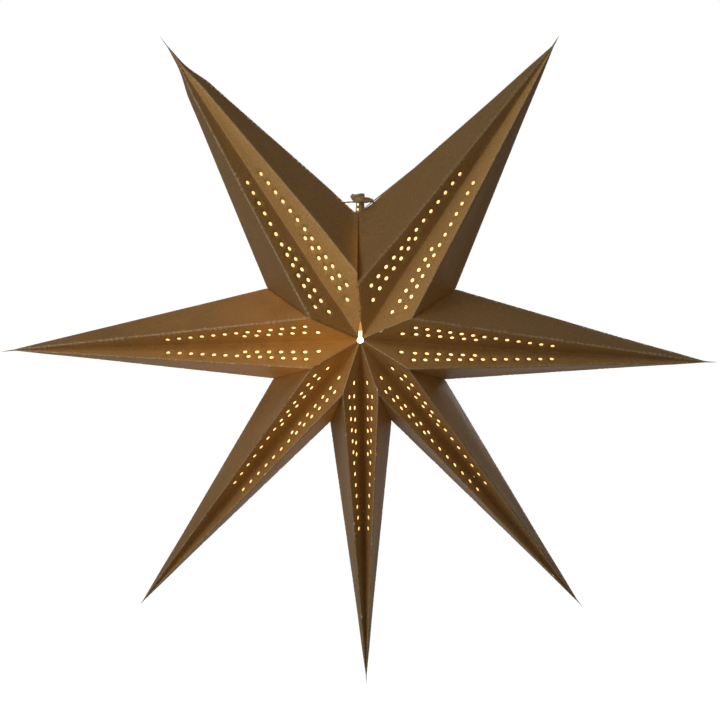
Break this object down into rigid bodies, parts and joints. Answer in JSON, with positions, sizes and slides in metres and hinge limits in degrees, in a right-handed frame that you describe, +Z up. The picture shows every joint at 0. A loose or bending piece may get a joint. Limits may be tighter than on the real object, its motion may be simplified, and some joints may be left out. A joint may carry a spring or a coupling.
{
  "type": "paper star",
  "caption": "Hanging folded paper star lantern with pointed hollow arms, punched light holes, a candle bulb inside and a ribbon-tied top seam with a cord sleeve.",
  "frame": {"origin": "centre of the cord sleeve's open upper end, on the axis of the sleeve, holder and bulb", "axes": "+X to the star's right seen from the front, +Z up along the cord sleeve's axis, -Y towards the viewer of the front face"},
  "size_m": [0.5995, 0.1176, 0.5507],
  "materials": {
    "card": "satin kraft card with fine fibres, bronze brown, pale worn fold lines",
    "sleeve_paper": "rolled kraft paper",
    "ribbon_paper": "flat twisted paper ribbon",
    "holder_plastic": "pale moulded plastic, lit by the bulb",
    "insert_ceramic": "unglazed ceramic with metal contacts",
    "bulb_glass": "frosted glass, lit from inside"
  },
  "bodies": {
    "root": {"arm_bottom": "card", "arm_lower_right": "card", "arm_right": "card", "arm_upper_right": "card", "arm_upper_left": "card", "arm_left": "card", "arm_lower_left": "card", "cord_sleeve": "sleeve_paper", "tie_bow": "ribbon_paper", "holder_cap": "holder_plastic", "holder_barrel": "holder_plastic", "contact_insert": "insert_ceramic", "candle_bulb": "bulb_glass"}
  },
  "joints": []
}
